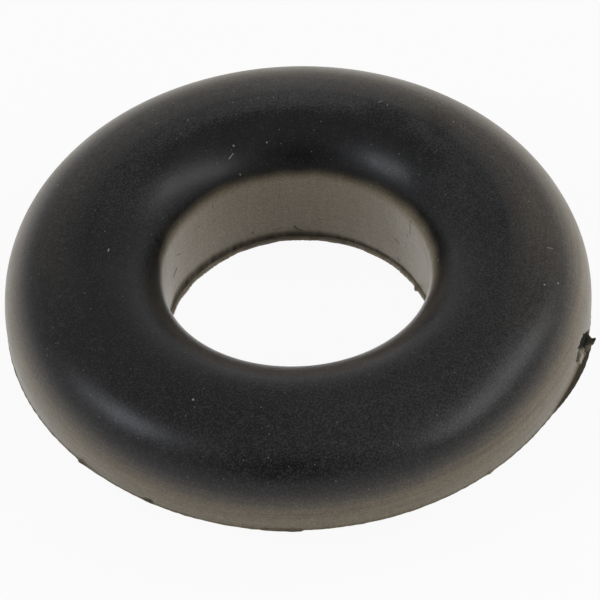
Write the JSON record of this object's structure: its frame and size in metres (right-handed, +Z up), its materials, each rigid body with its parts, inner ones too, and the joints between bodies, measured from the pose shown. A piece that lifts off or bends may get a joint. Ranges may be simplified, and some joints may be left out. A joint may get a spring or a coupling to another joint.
{
  "type": "pcv valve grommet",
  "caption": "Thick domed rubber ring with a straight bore for a PCV valve, a groove for the edge of a valve cover's hole and a tapered snap-in lip.",
  "frame": {"origin": "centre of the foot ring, on the surface the grommet stands on", "axes": "+Z up along the bore's axis, from the foot to the domed flange; the picture looks along +Y and down; the torn flash is on the +X side, towards -Y"},
  "size_m": [0.0406, 0.0406, 0.0108],
  "materials": {
    "rubber": "satin moulded black rubber with mould lines, flash and a little dust"
  },
  "bodies": {
    "root": {"grommet": "rubber"}
  },
  "joints": []
}
